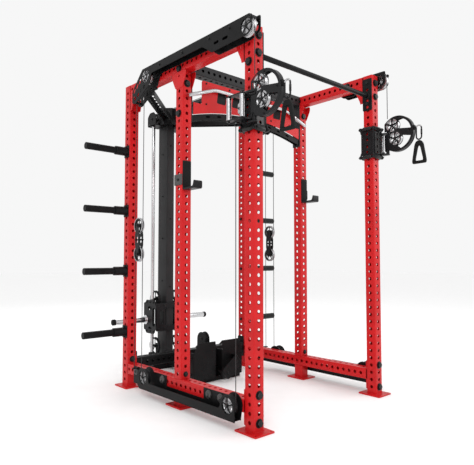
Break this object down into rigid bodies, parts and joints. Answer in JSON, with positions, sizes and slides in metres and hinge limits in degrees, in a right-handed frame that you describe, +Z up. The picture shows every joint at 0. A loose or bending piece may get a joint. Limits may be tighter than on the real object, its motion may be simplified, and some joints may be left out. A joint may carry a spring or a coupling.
{
  "type": "power rack",
  "caption": "Half-cage power rack with pull-up bar, adjustable side cable trolleys, pull-down bar, plate-loaded carriage on a rear mast and plate storage pegs.",
  "frame": {"origin": "on the floor, at the centre of the bounding box", "axes": "+Z up, -Y is the front where a person walks in, +X to the right seen from the front"},
  "size_m": [1.943, 2.2774, 2.3254],
  "materials": {
    "red_powder_coat": "satin powder coat",
    "black_powder_coat": "satin powder coat",
    "black_steel": "semi-gloss paint",
    "bright_steel": "polished",
    "silver_aluminium": "brushed",
    "black_nylon": "moulded",
    "rubber": "matte",
    "coated_cable": "smooth coating"
  },
  "bodies": {
    "frame": {"base_spine": "black_powder_coat", "lat_boom": "black_powder_coat", "lat_cable": "coated_cable", "left_base_channel": "black_powder_coat", "left_base_rail": "red_powder_coat", "left_guide_rod": "bright_steel", "left_j_cup": "black_powder_coat", "left_lower_cable": "coated_cable", "left_rear_arm": "black_powder_coat", "left_top_channel": "black_powder_coat", "left_top_rail": "red_powder_coat", "left_upper_cable": "coated_cable", "mast": "black_powder_coat", "mast_head": "black_powder_coat", "pull_up_bar": "black_powder_coat", "rear_base_crossmember": "black_powder_coat", "right_base_channel": "black_powder_coat", "right_base_rail": "red_powder_coat", "right_guide_rod": "bright_steel", "right_j_cup": "black_powder_coat", "right_lower_cable": "coated_cable", "right_rear_arm": "black_powder_coat", "right_top_channel": "black_powder_coat", "right_top_rail": "red_powder_coat", "right_upper_cable": "coated_cable", "sign_panel": "red_powder_coat", "top_crossmember": "black_powder_coat", "upright_front_left": "red_powder_coat", "upright_front_right": "red_powder_coat", "upright_mid_left": "red_powder_coat", "upright_mid_right": "red_powder_coat", "upright_rear_left": "red_powder_coat", "upright_rear_right": "red_powder_coat"},
    "left_trolley": {"left_trolley": "black_steel", "left_grips": "silver_aluminium"},
    "left_pop_pin": {"left_pop_pin": "silver_aluminium"},
    "left_swivel": {"left_swivel_guard": "black_steel"},
    "left_upper_wheel": {"left_upper_swivel_pulley": "black_nylon"},
    "left_lower_wheel": {"left_lower_swivel_pulley": "black_nylon"},
    "left_handle": {"left_handle": "rubber"},
    "left_block": {"left_pulley_block": "black_steel"},
    "left_front_top_wheel": {"left_front_top_pulley": "black_nylon"},
    "left_front_base_wheel": {"left_front_base_pulley": "black_nylon"},
    "left_rear_base_wheel": {"left_rear_base_pulley": "black_nylon"},
    "left_mast_wheel": {"left_mast_pulley": "black_nylon"},
    "right_trolley": {"right_trolley": "black_steel", "right_grips": "silver_aluminium"},
    "right_pop_pin": {"right_pop_pin": "silver_aluminium"},
    "right_swivel": {"right_swivel_guard": "black_steel"},
    "right_upper_wheel": {"right_upper_swivel_pulley": "black_nylon"},
    "right_lower_wheel": {"right_lower_swivel_pulley": "black_nylon"},
    "right_handle": {"right_handle": "rubber"},
    "right_block": {"right_pulley_block": "black_steel"},
    "right_front_top_wheel": {"right_front_top_pulley": "black_nylon"},
    "right_front_base_wheel": {"right_front_base_pulley": "black_nylon"},
    "right_rear_base_wheel": {"right_rear_base_pulley": "black_nylon"},
    "right_mast_wheel": {"right_mast_pulley": "black_nylon"},
    "front_lat_wheel": {"front_lat_pulley": "black_nylon"},
    "carriage": {"weight_carriage": "black_steel"},
    "lat_bar": {"lat_bar": "bright_steel"}
  },
  "joints": [
    {"name": "left_trolley_slide", "type": "slide", "parent": "frame", "child": "left_trolley", "axis": [0, 0, 1], "range_m": [-1.4, 0.1], "deforming": ["left_upper_cable", "left_lower_cable"]},
    {"name": "left_pop_pin_pull", "type": "slide", "parent": "left_trolley", "child": "left_pop_pin", "axis": [-1, 0, 0], "range_m": [0, 0.012], "stiffness_N_per_m": 400, "springref_m": -0.01},
    {"name": "left_swivel_turn", "type": "hinge", "parent": "left_trolley", "child": "left_swivel", "pos_m": [-0.67056, -0.84254, 1.78562], "axis": [0, 0, 1], "range_deg": [-80, 30]},
    {"name": "left_upper_wheel_spin", "type": "hinge", "parent": "left_swivel", "child": "left_upper_wheel", "pos_m": [-0.67056, -0.88572, 1.92024], "axis": [1, 0, 0], "continuous": true},
    {"name": "left_lower_wheel_spin", "type": "hinge", "parent": "left_swivel", "child": "left_lower_wheel", "pos_m": [-0.67056, -0.90731, 1.82245], "axis": [1, 0, 0], "continuous": true},
    {"name": "left_handle_swing", "type": "hinge", "parent": "left_swivel", "child": "left_handle", "pos_m": [-0.67056, -1.08511, 1.87579], "axis": [1, 0, 0], "range_deg": [-70, 3]},
    {"name": "left_block_slide", "type": "slide", "parent": "frame", "child": "left_block", "axis": [0, 0, 1], "range_m": [-0.06, 0.72]},
    {"name": "left_front_top_wheel_spin", "type": "hinge", "parent": "frame", "child": "left_front_top_wheel", "pos_m": [-0.67056, -0.79251, 2.26314], "axis": [1, 0, 0], "continuous": true},
    {"name": "left_front_base_wheel_spin", "type": "hinge", "parent": "frame", "child": "left_front_base_wheel", "pos_m": [-0.67056, -0.63502, 0.13716], "axis": [1, 0, 0], "continuous": true},
    {"name": "left_rear_base_wheel_spin", "type": "hinge", "parent": "frame", "child": "left_rear_base_wheel", "pos_m": [-0.67056, 0.26312, 0.13716], "axis": [1, 0, 0], "continuous": true},
    {"name": "left_mast_wheel_spin", "type": "hinge", "parent": "frame", "child": "left_mast_wheel", "pos_m": [-0.09652, 1.03706, 0.1905], "axis": [1, 0, 0], "continuous": true},
    {"name": "right_trolley_slide", "type": "slide", "parent": "frame", "child": "right_trolley", "axis": [0, 0, 1], "range_m": [-1.4, 0.1], "deforming": ["right_upper_cable", "right_lower_cable"]},
    {"name": "right_pop_pin_pull", "type": "slide", "parent": "right_trolley", "child": "right_pop_pin", "axis": [1, 0, 0], "range_m": [0, 0.012], "stiffness_N_per_m": 400, "springref_m": -0.01},
    {"name": "right_swivel_turn", "type": "hinge", "parent": "right_trolley", "child": "right_swivel", "pos_m": [0.67056, -0.84254, 1.78562], "axis": [0, 0, 1], "range_deg": [-30, 80]},
    {"name": "right_upper_wheel_spin", "type": "hinge", "parent": "right_swivel", "child": "right_upper_wheel", "pos_m": [0.67056, -0.88572, 1.92024], "axis": [1, 0, 0], "continuous": true},
    {"name": "right_lower_wheel_spin", "type": "hinge", "parent": "right_swivel", "child": "right_lower_wheel", "pos_m": [0.67056, -0.90731, 1.82245], "axis": [1, 0, 0], "continuous": true},
    {"name": "right_handle_swing", "type": "hinge", "parent": "right_swivel", "child": "right_handle", "pos_m": [0.67056, -1.08511, 1.87579], "axis": [1, 0, 0], "range_deg": [-70, 3]},
    {"name": "right_block_slide", "type": "slide", "parent": "frame", "child": "right_block", "axis": [0, 0, 1], "range_m": [-0.06, 0.72]},
    {"name": "right_front_top_wheel_spin", "type": "hinge", "parent": "frame", "child": "right_front_top_wheel", "pos_m": [0.67056, -0.79251, 2.26314], "axis": [1, 0, 0], "continuous": true},
    {"name": "right_front_base_wheel_spin", "type": "hinge", "parent": "frame", "child": "right_front_base_wheel", "pos_m": [0.67056, -0.63502, 0.13716], "axis": [1, 0, 0], "continuous": true},
    {"name": "right_rear_base_wheel_spin", "type": "hinge", "parent": "frame", "child": "right_rear_base_wheel", "pos_m": [0.67056, 0.26312, 0.13716], "axis": [1, 0, 0], "continuous": true},
    {"name": "right_mast_wheel_spin", "type": "hinge", "parent": "frame", "child": "right_mast_wheel", "pos_m": [0.09652, 1.03706, 0.1905], "axis": [1, 0, 0], "continuous": true},
    {"name": "front_lat_wheel_spin", "type": "hinge", "parent": "frame", "child": "front_lat_wheel", "pos_m": [0, -0.08054, 2.27584], "axis": [1, 0, 0], "continuous": true},
    {"name": "carriage_slide", "type": "slide", "parent": "frame", "child": "carriage", "axis": [0, 0, 1], "range_m": [0, 1.4]},
    {"name": "lat_bar_swing", "type": "hinge", "parent": "frame", "child": "lat_bar", "pos_m": [0, -0.12372, 2.1971], "axis": [1, 0, 0], "range_deg": [-40, 1.5]}
  ],
  "couplings": [
    {"joint": "left_block_slide", "follows": "left_trolley_slide", "ratio": -0.5},
    {"joint": "right_block_slide", "follows": "right_trolley_slide", "ratio": -0.5}
  ]
}
